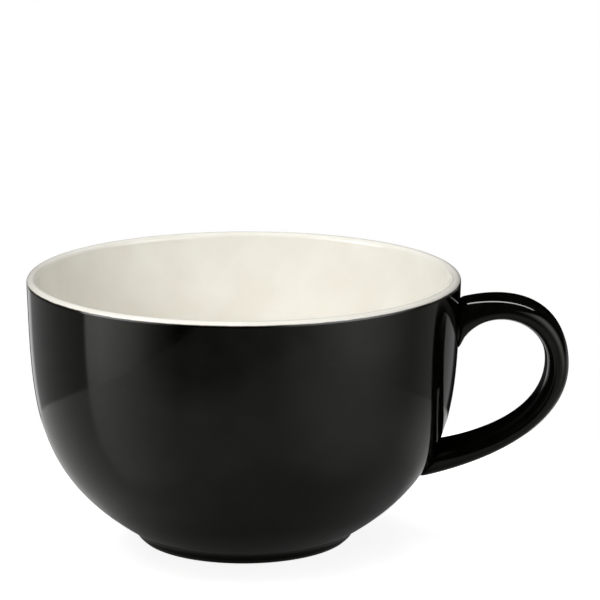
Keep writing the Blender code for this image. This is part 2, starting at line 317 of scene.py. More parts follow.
def rounded_end(path):
    """Half round that closes a coat at the end of a path, from its outer to its inner side."""
    point, normal = path[-1], normals(path)[-1]
    run = Vector((normal.y, -normal.x))
    middle = point + normal * (SEAM + GLAZE_THICKNESS / 2)
    turns = [math.pi * step / EDGE_STEPS for step in range(1, EDGE_STEPS)]
    return [middle + (normal * math.cos(turn) + run * math.sin(turn)) * GLAZE_THICKNESS / 2 for turn in turns]


dipped = soften(OUTSIDE + FOOT[1:], OUTSIDE[-1], NOTCH_REACH, NOTCH_STEPS)
coat_loop = offset(dipped, COAT) + rounded_end(dipped) + offset(dipped, SEAM)[::-1]
black_coat = add_piece("black_coat", turned(coat_loop, closed=True), "black_glaze", "outer_glaze")

recess = recess_outline(BASE_GLAZE_CLEARANCE)
recess_loop = coat_section(recess)
base_coat_section = recess_loop[len(recess):] + recess_loop[:len(recess)]
base_coat = add_piece("base_coat", turned(base_coat_section), "black_glaze", "base_glaze")

# %% [markdown]
# ## The handle's line
# The handle is a flat strap with round edges that swells where it meets the bowl. Its outer and inner edges are
# drawn as two curves each, in the upright plane through the axis. Every section lies between them and is a shape
# between an oval and a box: a circle whose sine and cosine are raised to a power. Each lengthwise line of the strap
# runs on until it meets the bowl's curved wall, which is found by halving the distance again and again.

# %% Handle edges
handle_low, handle_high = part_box("handle_glaze")
HANDLE_WIDTH = handle_high.y - handle_low.y
HANDLE_REACH = handle_high.x - AXIS_X
HANDLE_THICKNESS = 0.0063
BEND_DROP = 0.0250
UPPER_ROOT_DROP = 0.0072
UPPER_ROOT_LENGTH = 0.0136
LOWER_ROOT_RISE = 0.0177
LOWER_ROOT_LENGTH = 0.0092
UPPER_OUTER_ANGLE = math.radians(13.0)
UPPER_INNER_ANGLE = math.radians(75.1)
LOWER_OUTER_ANGLE = math.radians(12.5)
LOWER_INNER_ANGLE = math.radians(9.5)
OUTER_EDGE_FULLNESS = (0.689, 0.753, 0.491, 0.569)
INNER_EDGE_FULLNESS = (0.591, 0.815, 0.406, 0.783)
ROOT_RUN = 0.0120
UPPER_ROOT, BEND, LOWER_ROOT = 0.0, 1.0, 2.0

wall_surfaces = {}


def wall_radius(height, clearance):
    """Radius of the glazed bowl at a height, with a clearance added square to its surface."""
    if clearance not in wall_surfaces:
        rising = offset(OUTSIDE, COAT + clearance)[::-1]
        wall_surfaces[clearance] = [point.y for point in rising], [point.x for point in rising]
    heights, radii = wall_surfaces[clearance]
    return float(np.interp(height, heights, radii))


def on_wall(height):
    """Point of the glazed bowl's outline at a height."""
    return Vector((wall_radius(height, 0.0), height))


def edge_arcs(root, root_angle, bend, lower_root, lower_angle, crown, fullness):
    """Two arcs of one edge: out from its upper root, upright at the bend and back to its lower root."""
    at_root, above_bend, below_bend, at_lower_root = fullness
    up = Vector((0.0, 1.0))
    root_handle = root + direction(root_angle) * (bend.x - root.x) * at_root
    upper_handle = bend + up * (crown - bend.y) * above_bend
    lower_handle = bend - up * (bend.y - lower_root.y) * below_bend
    end_handle = lower_root + direction(lower_angle) * (bend.x - lower_root.x) * at_lower_root
    return (root, root_handle, upper_handle, bend), (bend, lower_handle, end_handle, lower_root)


crown = HEIGHT - UPPER_ROOT_DROP
outer_bend = Vector((HANDLE_REACH, HEIGHT - BEND_DROP))
inner_bend = outer_bend - Vector((HANDLE_THICKNESS, 0.0))
OUTER_EDGE = edge_arcs(on_wall(crown), UPPER_OUTER_ANGLE, outer_bend,
                       on_wall(LOWER_ROOT_RISE), LOWER_OUTER_ANGLE, crown, OUTER_EDGE_FULLNESS)
INNER_EDGE = edge_arcs(on_wall(crown - UPPER_ROOT_LENGTH), UPPER_INNER_ANGLE, inner_bend,
                       on_wall(LOWER_ROOT_RISE + LOWER_ROOT_LENGTH), LOWER_INNER_ANGLE, crown, INNER_EDGE_FULLNESS)
print(f"handle {HANDLE_WIDTH * 1000:.1f} mm wide, reaching {HANDLE_REACH * 1000:.1f} mm from the axis")

# %% Points of the handle's skin
BISECTIONS = 36
HANDLE_SQUARENESS = 2.8


def edge_point(arcs, travel, inset):
    """Point of an edge, moved to its right by an inset; past its roots an edge runs straight on."""
    on_edge = min(max(travel, UPPER_ROOT), LOWER_ROOT)
    first, first_handle, last_handle, last = arcs[0] if on_edge < BEND else arcs[1]
    share = on_edge if on_edge < BEND else on_edge - BEND
    rest = 1 - share
    place = first * rest ** 3 + last * share ** 3
    place += (first_handle * rest + last_handle * share) * 3 * rest * share
    run = (first_handle - first) * rest ** 2 + (last - last_handle) * share ** 2
    run += (last_handle - first_handle) * 2 * rest * share
    run.normalize()
    return place + run * (travel - on_edge) * ROOT_RUN + Vector((run.y, -run.x)) * inset


def squared(share):
    """A sine or cosine drawn out towards its ends, which makes a box with round corners of a circle."""
    return math.copysign(abs(share) ** (2 / HANDLE_SQUARENESS), share)


def handle_point(travel, turn, inset):
    """Point of the handle's section, drawn in by an inset."""
    outer = edge_point(OUTER_EDGE, travel, inset)
    inner = edge_point(INNER_EDGE, travel, -inset)
    flat = (outer + inner) / 2 + (outer - inner) / 2 * squared(math.cos(turn))
    return Vector((flat.x, (HANDLE_WIDTH / 2 - inset) * squared(math.sin(turn)), flat.y))


def landing(root, turn, inset, clearance):
    """Travel at which one lengthwise line of the handle comes within a clearance of the glazed bowl."""
    buried, free = root + (root - BEND), BEND
    for _ in range(BISECTIONS):
        middle = (buried + free) / 2
        point = handle_point(middle, turn, inset)
        if math.hypot(point.x, point.y) > wall_radius(point.z, clearance):
            free = middle
        else:
            buried = middle
    return free


# %% [markdown]
# ## The handle's coat
# Where the bar meets the bowl, the slip and the glaze fill the corner with a small round. Each lengthwise line
# therefore leaves the bar a little before the corner and ends on the bowl a little beyond it, along a curve that
# touches both. The last ring lies just under the bowl's surface. Joining the two meshes with a Boolean would leave a
# hard edge there.

# %% Handle coat
HANDLE_SIDES = 56
HANDLE_STEPS = 44
FILLET_STEPS = 8
FILLET_RISE = 0.0016
FILLET_RUN = 0.0017
FILLET_SINK = 0.00004
WALL_PROBE = 0.0004
PROBE_TRAVEL = 0.002
PROBE_TURN = 0.01


def wall_normal(point):
    """Outward normal of the glazed bowl at a point of its wall."""
    slope = (wall_radius(point.z + WALL_PROBE, 0.0) - wall_radius(point.z - WALL_PROBE, 0.0)) / (2 * WALL_PROBE)
    radial = Vector((point.x, point.y, 0.0)).normalized()
    return (radial - Vector((0.0, 0.0, slope))).normalized()


def bar_normal(travel, turn):
    """Outward normal of the bar at a point of its skin."""
    along = handle_point(travel + PROBE_TRAVEL, turn, 0.0) - handle_point(travel - PROBE_TRAVEL, turn, 0.0)
    around = handle_point(travel, turn + PROBE_TURN, 0.0) - handle_point(travel, turn - PROBE_TURN, 0.0)
    return around.cross(along).normalized()


def fillet(root, turn):
    """Points from the bar to the bowl along one lengthwise line, without the one on the bar."""
    leave = handle_point(landing(root, turn, 0.0, FILLET_RISE), turn, 0.0)
    corner_travel = landing(root, turn, 0.0, 0.0)
    corner = handle_point(corner_travel, turn, 0.0)
    on_bowl = wall_normal(corner)
    away = bar_normal(corner_travel, turn)
    away -= on_bowl * away.dot(on_bowl)
    land = corner + away.normalized() * FILLET_RUN
    reach = wall_radius(land.z, -FILLET_SINK) / math.hypot(land.x, land.y)
    land = Vector((land.x * reach, land.y * reach, land.z))
    handles = leave.lerp(corner, QUADRATIC), land.lerp(corner, QUADRATIC)
    return interpolate_bezier(leave, *handles, land, FILLET_STEPS + 1)[1:]


def bar_line(turn, inset, clearance):
    """Points along the bar between two travels at which it is a clearance off the bowl."""
    upper = landing(UPPER_ROOT, turn, inset, clearance)
    lower = landing(LOWER_ROOT, turn, inset, clearance)
    shares = [step / HANDLE_STEPS for step in range(HANDLE_STEPS + 1)]
    travels = [upper + (BEND - upper) * share for share in shares]
    travels += [BEND + (lower - BEND) * share for share in shares[1:]]
    return [handle_point(travel, turn, inset) for travel in travels]


def skin(mesh, lines):
    """Skin along lengthwise lines; gives back its first and last ring."""
    rings = [[mesh.verts.new(point) for point in ring] for ring in zip(*lines)]
    for first, second in zip(rings, rings[1:]):
        bridge(mesh, first, second)
    return rings[0], rings[-1]


handle_turns = [2 * math.pi * side / HANDLE_SIDES for side in range(HANDLE_SIDES)]
outer_lines = []
for turn in handle_turns:
    above = fillet(UPPER_ROOT, turn)[::-1]
    outer_lines.append(above + bar_line(turn, 0.0, FILLET_RISE) + fillet(LOWER_ROOT, turn))
inner_lines = [bar_line(turn, GLAZE_THICKNESS, -FILLET_SINK) for turn in handle_turns]
handle_mesh = bmesh.new()
outer_ends = skin(handle_mesh, outer_lines)
inner_ends = skin(handle_mesh, inner_lines)
for outer, inner in zip(outer_ends, inner_ends):
    bridge(handle_mesh, outer, inner)
handle_coat = add_piece("handle_coat", handle_mesh, "black_glaze", "handle_glaze")

# %% [markdown]
# ## Openings for the handle's roots
# The clay of the handle is stuck to the clay of the bowl with slip, so the bowl's coat has a hole under each root.
# Two plugs with the handle's own outline cut them with a Boolean modifier, which is applied at once. The round of
# the handle's coat covers the edges.

# %% Cut the openings
PLUG_DEPTH = 0.0016
PLUG_PROUD = 0.0008


def add_plug(name, root):
    """Closed plug through the bowl's coat, as wide as the inside of the handle's coat."""
    mesh_data = bmesh.new()
    rings = []
    for clearance in (-PLUG_DEPTH, PLUG_PROUD):
        travels = [landing(root, turn, GLAZE_THICKNESS, clearance) for turn in handle_turns]
        points = [handle_point(*where, GLAZE_THICKNESS) for where in zip(travels, handle_turns)]
        rings.append([mesh_data.verts.new(point) for point in points])
    bridge(mesh_data, *rings)
    mesh_data.faces.new(rings[0])
    mesh_data.faces.new(rings[1])
    mesh = bpy.data.meshes.new(name)
    finish_mesh(mesh_data, mesh)
    plug = bpy.data.objects.new(name, mesh)
    plug.location = (AXIS_X, 0.0, 0.0)
    bpy.context.scene.collection.objects.link(plug)
    return plug


def cut(piece, plugs):
    """Take the plugs out of a piece and throw them away."""
    for plug in plugs:
        modifier = piece.modifiers.new(plug.name, "BOOLEAN")
        modifier.operation = "DIFFERENCE"
        modifier.solver = "EXACT"
        modifier.object = plug
    evaluated = piece.evaluated_get(bpy.context.evaluated_depsgraph_get())
    mesh = bpy.data.meshes.new_from_object(evaluated)
    piece.modifiers.clear()
    piece.data = mesh
    mesh.set_sharp_from_angle(angle=SHARP_ANGLE)
    for plug in plugs:
        bpy.data.objects.remove(plug, do_unlink=True)


faces_before = len(black_coat.data.polygons)
cut(black_coat, [add_plug("upper_plug", UPPER_ROOT), add_plug("lower_plug", LOWER_ROOT)])
print(f"black coat: {faces_before} faces before the cuts, {len(black_coat.data.polygons)} after")

# %% [markdown]
# ## Surface of a glaze
# Molten glaze levels itself, but never fully. It keeps long, very shallow waves and a fine skin like an orange's,
# and it is a little thicker in some places than in others. Both glazes share this, so it is one node group. Its
# height goes to a Bump node and its thickness to the colour and the roughness.

# %% Glaze surface group
def new_group(name, inputs, outputs):
    """Empty shader node group with float inputs that have default values, and float outputs."""
    group = bpy.data.node_groups.new(name, "ShaderNodeTree")
    for label, value in inputs.items():
        socket = group.interface.new_socket(label, in_out="INPUT", socket_type="NodeSocketFloat")
        socket.default_value = value
    for label in outputs:
        group.interface.new_socket(label, in_out="OUTPUT", socket_type="NodeSocketFloat")
    return group, group.nodes.new("NodeGroupInput"), group.nodes.new("NodeGroupOutput")


def feed(tree, value, socket):
    """Link a value that is a socket, or set one that is fixed."""
    if isinstance(value, bpy.types.NodeSocket):
        tree.links.new(value, socket)
    else:
        socket.default_value = value


def math_node(tree, operation, first, second):
    """Math node between two values, each a socket or a number; gives back its output."""
    node = tree.nodes.new("ShaderNodeMath")
    node.operation = operation
    feed(tree, first, node.inputs[0])
    feed(tree, second, node.inputs[1])
    return node.outputs[0]


def noise_node(tree, coordinates, size, detail):
    """Noise whose patches have a size in metres, a socket or a number; gives back its value."""
    noise = tree.nodes.new("ShaderNodeTexNoise")
    noise.inputs["Detail"].default_value = detail
    tree.links.new(coordinates, noise.inputs["Vector"])
    tree.links.new(math_node(tree, "DIVIDE", 1.0, size), noise.inputs["Scale"])
    return noise.outputs["Fac"]


def make_glaze_surface():
    """Group that gives a glaze its shallow waves and its changes of thickness."""
    inputs = {"Wave Size": 0.018, "Skin Size": 0.0012, "Skin Share": 0.1, "Patch Size": 0.006}
    group, entry, leave = new_group("glaze_surface", inputs, ("Height", "Thickness"))
    place = group.nodes.new("ShaderNodeTexCoord").outputs["Object"]
    waves = noise_node(group, place, entry.outputs["Wave Size"], detail=1.0)
    grain = noise_node(group, place, entry.outputs["Skin Size"], detail=1.0)
    height = math_node(group, "ADD", waves, math_node(group, "MULTIPLY", grain, entry.outputs["Skin Share"]))
    group.links.new(height, leave.inputs["Height"])
    group.links.new(noise_node(group, place, entry.outputs["Patch Size"], detail=3.0), leave.inputs["Thickness"])
    return group


glaze_surface = make_glaze_surface()
print("glaze surface gives", [item.name for item in glaze_surface.interface.items_tree if item.in_out == "OUTPUT"])

# %% [markdown]
# ## Helpers for materials
# The materials of the mug and the table are each a Principled BSDF. Values that are the same all over the piece are
# set on its own sockets. Colours and roughness that change over the surface come in through a map from a mask, and
# height through a Bump.

# %% Material helpers
def new_material(name, **values):
    """Material whose Principled BSDF has some sockets set; gives back it, its tree and the shader."""
    material = bpy.data.materials.new(name)
    material.use_nodes = True
    tree = material.node_tree
    shader = tree.nodes["Principled BSDF"]
    for label, value in values.items():
        shader.inputs[label.replace("_", " ")].default_value = value
    return material, tree, shader


def place_group(tree, group, **values):
    """Put a node group into a tree and set its inputs."""
    node = tree.nodes.new("ShaderNodeGroup")
    node.node_tree = group
    for label, value in values.items():
        node.inputs[label.replace("_", " ")].default_value = value
    return node


def colour_map(tree, mask, ends, colours):
    """Colour that goes from the first of two colours to the second as the mask goes between two ends."""
    ramp = tree.nodes.new("ShaderNodeValToRGB")
    for element, place, colour in zip(ramp.color_ramp.elements, ends, colours):
        element.position = place
        element.color = (*colour, 1.0)
    tree.links.new(mask, ramp.inputs["Fac"])
    return ramp.outputs["Color"]


def value_map(tree, mask, ends, values, smooth=False):
    """Value that goes from the first of two values to the second as the mask goes between two ends."""
    mapped = tree.nodes.new("ShaderNodeMapRange")
    mapped.interpolation_type = "SMOOTHSTEP" if smooth else "LINEAR"
    for label, value in zip(("From Min", "From Max", "To Min", "To Max"), (*ends, *values)):
        mapped.inputs[label].default_value = value
    tree.links.new(mask, mapped.inputs["Value"])
    return mapped.outputs["Result"]


def mix_colours(tree, share, first, second):
    """Colour that goes from a first to a second one, each a socket or fixed, as a share goes from 0 to 1."""
    node = tree.nodes.new("ShaderNodeMix")
    node.data_type = "RGBA"
    tree.links.new(share, node.inputs["Factor"])
    feed(tree, first, node.inputs["A"])
    feed(tree, second, node.inputs["B"])
    return node.outputs["Result"]


def bump(tree, shader, height, strength, distance):
    """Bump node that turns a height in units of a distance into the shader's normal."""
    node = tree.nodes.new("ShaderNodeBump")
    node.inputs["Strength"].default_value = strength
    node.inputs["Distance"].default_value = distance
    tree.links.new(height, node.inputs["Height"])
    tree.links.new(node.outputs["Normal"], shader.inputs["Normal"])


def dress(piece, material):
    """Give a piece one material all over."""
    piece.data.materials.clear()
    piece.data.materials.append(material)


# %% [markdown]
# ## Black glaze
# The black is a dark iron glaze, not paint. It shows almost no colour of its own and is seen by what it mirrors,
# with a faint green-yellow cast. Its thickness moves the colour between two blacks, and the roughness a little.

# %% Black glaze material
BLACK_DEEP = (0.0010, 0.0010, 0.0009)
BLACK_THIN = (0.0026, 0.0025, 0.0018)
GLAZE_TINT = (0.985, 1.0, 0.89, 1.0)
THICKNESS_SPREAD = (0.35, 0.65)
BLACK_ROUGHNESS = (0.075, 0.05)
GLAZE_BUMP = {"strength": 0.25, "distance": 0.0004}


def make_black_glaze():
    """Glossy black with slow waves in its mirror."""
    material, tree, shader = new_material("black_glaze", Specular_IOR_Level=0.17, Specular_Tint=GLAZE_TINT)
    surface = place_group(tree, glaze_surface, Wave_Size=0.020, Skin_Size=0.0010, Skin_Share=0.02)
    thickness = surface.outputs["Thickness"]
    black = colour_map(tree, thickness, THICKNESS_SPREAD, (BLACK_THIN, BLACK_DEEP))
    tree.links.new(black, shader.inputs["Base Color"])
    tree.links.new(value_map(tree, thickness, THICKNESS_SPREAD, BLACK_ROUGHNESS), shader.inputs["Roughness"])
    bump(tree, shader, surface.outputs["Height"], **GLAZE_BUMP)
    return material


black_glaze = make_black_glaze()
for piece in (black_coat, base_coat, handle_coat):
    dress(piece, black_glaze)
print("black glaze on", black_coat.name, base_coat.name, handle_coat.name)

# %% [markdown]
# ## Cream glaze and the break at the lip
# The lining is a warm white that pools a little yellower where it is thick. On the lip's outer shoulder it changes
# to black within less than a millimetre, through a brown where the two glazes mix. The change follows a height on
# the outside only, so a mask of height is cut off inside the lip's middle line, and noise makes the line waver.

# %% Cream glaze material
CREAM_THIN = (0.865, 0.845, 0.785)
CREAM_THICK = (0.825, 0.80, 0.725)
CREAM_ROUGHNESS = (0.16, 0.10)
MIXED_BROWN = (0.10, 0.085, 0.06)
BROWN_COMES = (0.0, 0.6)
BLACK_COMES = (0.4, 1.0)
BREAK_RISE = 0.00055
BREAK_WIDTH = 0.00045
BREAK_WAVER = 0.00025
WAVER_SIZE = 0.004


def make_lip_break():
    """Group whose mask is 0 on the cream and 1 on the black of the lip's outer shoulder."""
    group, entry, leave = new_group("lip_break", {"Waver": BREAK_WAVER}, ("Mask",))
    place = group.nodes.new("ShaderNodeTexCoord").outputs["Object"]
    parts = group.nodes.new("ShaderNodeSeparateXYZ")
    group.links.new(place, parts.inputs[0])
    across = math_node(group, "POWER", parts.outputs["X"], 2.0)
    deep = math_node(group, "POWER", parts.outputs["Y"], 2.0)
    radius = math_node(group, "SQRT", math_node(group, "ADD", across, deep), 0.0)
    outer = math_node(group, "GREATER_THAN", radius, RIM_RADIUS - LIP_RADIUS)
    waver = math_node(group, "SUBTRACT", noise_node(group, place, WAVER_SIZE, detail=2.0), 0.5)
    height = math_node(group, "ADD", parts.outputs["Z"], math_node(group, "MULTIPLY", waver, entry.outputs["Waver"]))
    middle = LIP_HEIGHT + BREAK_RISE
    black = value_map(group, height, (middle - BREAK_WIDTH / 2, middle + BREAK_WIDTH / 2), (1.0, 0.0), smooth=True)
    group.links.new(math_node(group, "MULTIPLY", black, outer), leave.inputs["Mask"])
    return group


def make_cream_glaze():
    """Glossy cream that turns to black on the lip's outer shoulder."""
    material, tree, shader = new_material("cream_glaze", Specular_IOR_Level=0.45)
    surface = place_group(tree, glaze_surface, Wave_Size=0.025, Skin_Size=0.0014, Skin_Share=0.03, Patch_Size=0.012)
    thickness = surface.outputs["Thickness"]
    cream = colour_map(tree, thickness, THICKNESS_SPREAD, (CREAM_THIN, CREAM_THICK))
    mask = place_group(tree, make_lip_break()).outputs["Mask"]
    brown_share = value_map(tree, mask, BROWN_COMES, (0.0, 1.0))
    black_share = value_map(tree, mask, BLACK_COMES, (0.0, 1.0))
    mixed = mix_colours(tree, brown_share, cream, (*MIXED_BROWN, 1.0))
    tree.links.new(mix_colours(tree, black_share, mixed, (*BLACK_DEEP, 1.0)), shader.inputs["Base Color"])
    tree.links.new(value_map(tree, thickness, THICKNESS_SPREAD, CREAM_ROUGHNESS), shader.inputs["Roughness"])
    bump(tree, shader, surface.outputs["Height"], **GLAZE_BUMP)
    return material


dress(cream_lining, make_cream_glaze())
print(f"cream turns to black {BREAK_RISE * 1000:.2f} mm above the lip's outermost line")

# %% [markdown]
# ## Bare clay and slip
# Fired stoneware without glaze is matt and full of fine sand. The slip that holds the handle is the same clay with
# water, so it is finer and a little darker. One group makes the grain of both at two sizes. The handle's clay and
# the slip pads keep their shapes from the frame, since the glaze hides them.

# %% Clay grain group and materials
CLAY_PALE = (0.66, 0.60, 0.51)
CLAY_DARK = (0.50, 0.43, 0.34)
SLIP_PALE = (0.61, 0.55, 0.46)
SLIP_DARK = (0.48, 0.42, 0.33)
CLAY_GRAIN_SIZE = 0.0005
SLIP_GRAIN_SIZE = 0.0003
CLAY_TONES = (0.38, 0.60)
TONE_SPREAD = (0.3, 0.7)
CLAY_ROUGHNESS = (0.92, 0.78)
CLAY_BUMP = {"strength": 0.5, "distance": 0.0002}


def make_clay_grain():
    """Group with the sandy grain of bare clay."""
    inputs = {"Grain Size": CLAY_GRAIN_SIZE, "Patch Size": 0.004}
    group, entry, leave = new_group("clay_grain", inputs, ("Height", "Tone"))
    place = group.nodes.new("ShaderNodeTexCoord").outputs["Object"]
    grain = noise_node(group, place, entry.outputs["Grain Size"], detail=4.0)
    patch = noise_node(group, place, entry.outputs["Patch Size"], detail=3.0)
    group.links.new(grain, leave.inputs["Height"])
    tone = math_node(group, "MULTIPLY", math_node(group, "ADD", grain, patch), 0.5)
    group.links.new(tone, leave.inputs["Tone"])
    return group


clay_grain = make_clay_grain()


def make_clay(name, pale, dark, grain_size):
    """Matt clay between two tones."""
    material, tree, shader = new_material(name, Specular_IOR_Level=0.3)
    grain = place_group(tree, clay_grain, Grain_Size=grain_size)
    tone = grain.outputs["Tone"]
    tree.links.new(colour_map(tree, tone, CLAY_TONES, (dark, pale)), shader.inputs["Base Color"])
    tree.links.new(value_map(tree, tone, TONE_SPREAD, CLAY_ROUGHNESS), shader.inputs["Roughness"])
    bump(tree, shader, grain.outputs["Height"], **CLAY_BUMP)
    return material


bare_clay = make_clay("bare_clay", CLAY_PALE, CLAY_DARK, CLAY_GRAIN_SIZE)
slip = make_clay("slip", SLIP_PALE, SLIP_DARK, SLIP_GRAIN_SIZE)
dress(clay_bowl, bare_clay)
for node, material in (("handle", bare_clay), ("upper_slip_joint", slip), ("lower_slip_joint", slip)):
    dress(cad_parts[node], material)
print("clay on clay_bowl and handle, slip on both joints")

# %% [markdown]
# ## Table and white background
# The mug stands on an oval, satin white table. The world is white to the camera and in mirrors and glass, by asking
# Light Path which kind of ray looks, and grey to all other rays. The table gets just enough glow of its own in the
# camera's rays to reach white while it keeps the mug's shadow. Its edge is soft, and it thins out towards the front
# and the right, so that the glaze mirrors no bright line across the bowl.

# %% Table and world
TABLE_RADIUS = 0.205
TABLE_STRETCH = 1.11
TABLE_FADE = 0.008
TABLE_FRONT = 0.095
THIN_TOWARDS_FRONT = (math.radians(-20), (0.075, 0.145), 0.45)
THIN_TOWARDS_RIGHT = (math.radians(90), (0.09, 0.20), 0.30)
TABLE_WHITE = (0.88, 0.88, 0.87)
TABLE_PALE = (0.91, 0.91, 0.90)
TABLE_GLOW_SEEN = 0.86
TABLE_GLOW_MIRRORED = 0.04
WORLD_GREY = (0.32, 0.32, 0.32, 1.0)
WHITE = (1.0, 1.0, 1.0, 1.0)
TABLE_SIDES = 128
TABLE_GAP = 0.00005


def ray_share(tree, to_camera, to_mirror):
    """Value that is one number for the camera's rays, another for mirrored ones and 0 for the rest."""
    ray = tree.nodes.new("ShaderNodeLightPath")
    mirrored = math_node(tree, "MAXIMUM", ray.outputs["Is Glossy Ray"], ray.outputs["Is Transmission Ray"])
    seen = math_node(tree, "MULTIPLY", ray.outputs["Is Camera Ray"], to_camera)
    return math_node(tree, "ADD", seen, math_node(tree, "MULTIPLY", mirrored, to_mirror))


def vector_value(tree, operation, vector, other):
    """Number that an operation makes of a vector's socket and a fixed vector."""
    node = tree.nodes.new("ShaderNodeVectorMath")
    node.operation = operation
    tree.links.new(vector, node.inputs[0])
    node.inputs[1].default_value = other
    return node.outputs["Value"]


def make_table_white():
    """Pale satin table that the camera sees as white, apart from the shadow."""
    material, tree, shader = new_material("table_white", Roughness=0.2, Specular_IOR_Level=0.9)
    grain = place_group(tree, clay_grain, Grain_Size=0.002, Patch_Size=0.05)
    tone = colour_map(tree, grain.outputs["Tone"], TONE_SPREAD, (TABLE_WHITE, TABLE_PALE))
    tree.links.new(tone, shader.inputs["Base Color"])
    place = tree.nodes.new("ShaderNodeTexCoord").outputs["Object"]
    from_middle = vector_value(tree, "LENGTH", place, (0.0, 0.0, 0.0))
    cover = value_map(tree, from_middle, (TABLE_RADIUS - TABLE_FADE, TABLE_RADIUS), (1.0, 0.0), smooth=True)
    for towards, reach, level in (THIN_TOWARDS_FRONT, THIN_TOWARDS_RIGHT):
        along = vector_value(tree, "DOT_PRODUCT", place, (math.sin(towards), -math.cos(towards), 0.0))
        cover = math_node(tree, "MULTIPLY", cover, value_map(tree, along, reach, (1.0, level), smooth=True))
    tree.links.new(cover, shader.inputs["Alpha"])
    shader.inputs["Emission Color"].default_value = WHITE
    tree.links.new(ray_share(tree, TABLE_GLOW_SEEN, TABLE_GLOW_MIRRORED), shader.inputs["Emission Strength"])
    return material


def stage_object(name, mesh_data, material, location):
    """Object of the stage, which is no part of the mug."""
    mesh = bpy.data.meshes.new(name)
    mesh_data.to_mesh(mesh)
    mesh_data.free()
    mesh.materials.append(material)
    thing = bpy.data.objects.new(name, mesh)
    thing.location = location
    bpy.context.scene.collection.objects.link(thing)
    return thing


def make_table():
    """Oval table top under the mug, with its middle towards the camera."""
    mesh_data = bmesh.new()
    bmesh.ops.create_circle(mesh_data, cap_ends=True, segments=TABLE_SIDES, radius=TABLE_RADIUS)
    top = stage_object("table", mesh_data, make_table_white(), (AXIS_X, -TABLE_FRONT, -TABLE_GAP))
    top.scale.y = TABLE_STRETCH
    return top


def make_world():
    """World that is white to the camera and in mirrors, and grey to the rest."""
    world = bpy.data.worlds.new("room")
    bpy.context.scene.world = world
    world.use_nodes = True
    tree = world.node_tree
    shown = mix_colours(tree, ray_share(tree, 1.0, 1.0), WORLD_GREY, WHITE)
    tree.links.new(shown, tree.nodes["Background"].inputs["Color"])


table = make_table()
make_world()
bpy.context.scene.view_settings.view_transform = "Standard"
print(f"table {TABLE_RADIUS * 2000:.0f} mm wide and {TABLE_RADIUS * TABLE_STRETCH * 2000:.0f} mm deep")

# %% [markdown]
# ## Studio tent
# A glossy black thing shows all that stands round it, so it is photographed in a tent of cloth. The cloth here is a
# drum that the camera looks through. It is grey low at the sides, and black in front of the mug and overhead, which
# keeps the front of the glaze deep. Behind the mug it is black, which draws a dark line along the right outline. A
# white strip where that black ends on the left draws a bright line along the left outline. The glow follows the
# direction round the mug and the height.

# %% Studio tent
TENT_RADIUS = 1.25
TENT_LOW = -0.70
TENT_HIGH = 1.40
TENT_SIDES = 96
TENT_GLOW = 0.40
TENT_DARK = 0.03
FRONT_LEFT = (math.radians(-62), math.radians(-44))
FRONT_RIGHT = (math.radians(-14), math.radians(14))
BACK_RIGHT = (math.radians(149), math.radians(156))
BACK_LEFT = (math.radians(-165), math.radians(-160))
BACKDROP = (math.radians(-155), math.radians(-149))
BACKDROP_WHITE = 2.4
TENT_FADE_HEIGHTS = (-0.20, 0.05)


def new_glow(name):
    """Material that only glows; gives back it, its tree and its Emission node."""
    material = bpy.data.materials.new(name)
    material.use_nodes = True
    tree = material.node_tree
    tree.nodes.remove(tree.nodes["Principled BSDF"])
    return material, tree, tree.nodes.new("ShaderNodeEmission")


def only_in_gloss(thing):
    """Hide a thing of the stage from the camera and from matt surfaces."""
    thing.visible_camera = False
    thing.visible_diffuse = False


def make_tent():
    """Drum of cloth round the stage, seen in gloss only."""
    material, tree, emission = new_glow("tent_cloth")
    parts = tree.nodes.new("ShaderNodeSeparateXYZ")
    tree.links.new(tree.nodes.new("ShaderNodeTexCoord").outputs["Object"], parts.inputs[0])
    towards_camera = math_node(tree, "MULTIPLY", parts.outputs["Y"], -1.0)
    round_mug = math_node(tree, "ARCTAN2", parts.outputs["X"], towards_camera)
    left = value_map(tree, round_mug, FRONT_LEFT, (1.0, TENT_DARK), smooth=True)
    right = value_map(tree, round_mug, FRONT_RIGHT, (TENT_DARK, 1.0), smooth=True)
    behind_right = value_map(tree, round_mug, BACK_RIGHT, (1.0, TENT_DARK), smooth=True)
    behind_left = value_map(tree, round_mug, BACK_LEFT, (TENT_DARK, 1.0), smooth=True)
    backdrop = value_map(tree, round_mug, BACKDROP, (BACKDROP_WHITE, 1.0), smooth=True)
    above = value_map(tree, parts.outputs["Z"], TENT_FADE_HEIGHTS, (TENT_GLOW, TENT_DARK * TENT_GLOW), smooth=True)
    glow = math_node(tree, "MULTIPLY", math_node(tree, "MAXIMUM", left, right), above)
    for behind in (behind_right, behind_left, backdrop):
        glow = math_node(tree, "MULTIPLY", glow, behind)
    tree.links.new(glow, emission.inputs["Strength"])
    tree.links.new(emission.outputs[0], tree.nodes["Material Output"].inputs["Surface"])
    mesh_data = bmesh.new()
    bmesh.ops.create_cone(mesh_data, cap_ends=True, segments=TENT_SIDES, radius1=TENT_RADIUS, radius2=TENT_RADIUS,
                          depth=TENT_HIGH - TENT_LOW)
    bmesh.ops.translate(mesh_data, vec=(0.0, 0.0, (TENT_HIGH + TENT_LOW) / 2), verts=mesh_data.verts)
    only_in_gloss(stage_object("studio_tent", mesh_data, material, (AXIS_X, 0.0, 0.0)))


make_tent()
print(f"tent {TENT_RADIUS * 2:.1f} m across")

# %% [markdown]
# ## Softboxes
# Two panels of lit cloth stand beside the mug, a key on the left and a weaker fill on the right. They are there for
# the gloss, which shows their shapes. So their glow fades towards their edges, and where it fades out the panel is
# clear. An area lamp would be even all over. The glow's shape is one node group with a fade for each side. The right
# side can also stop short at a level, with a soft edge.

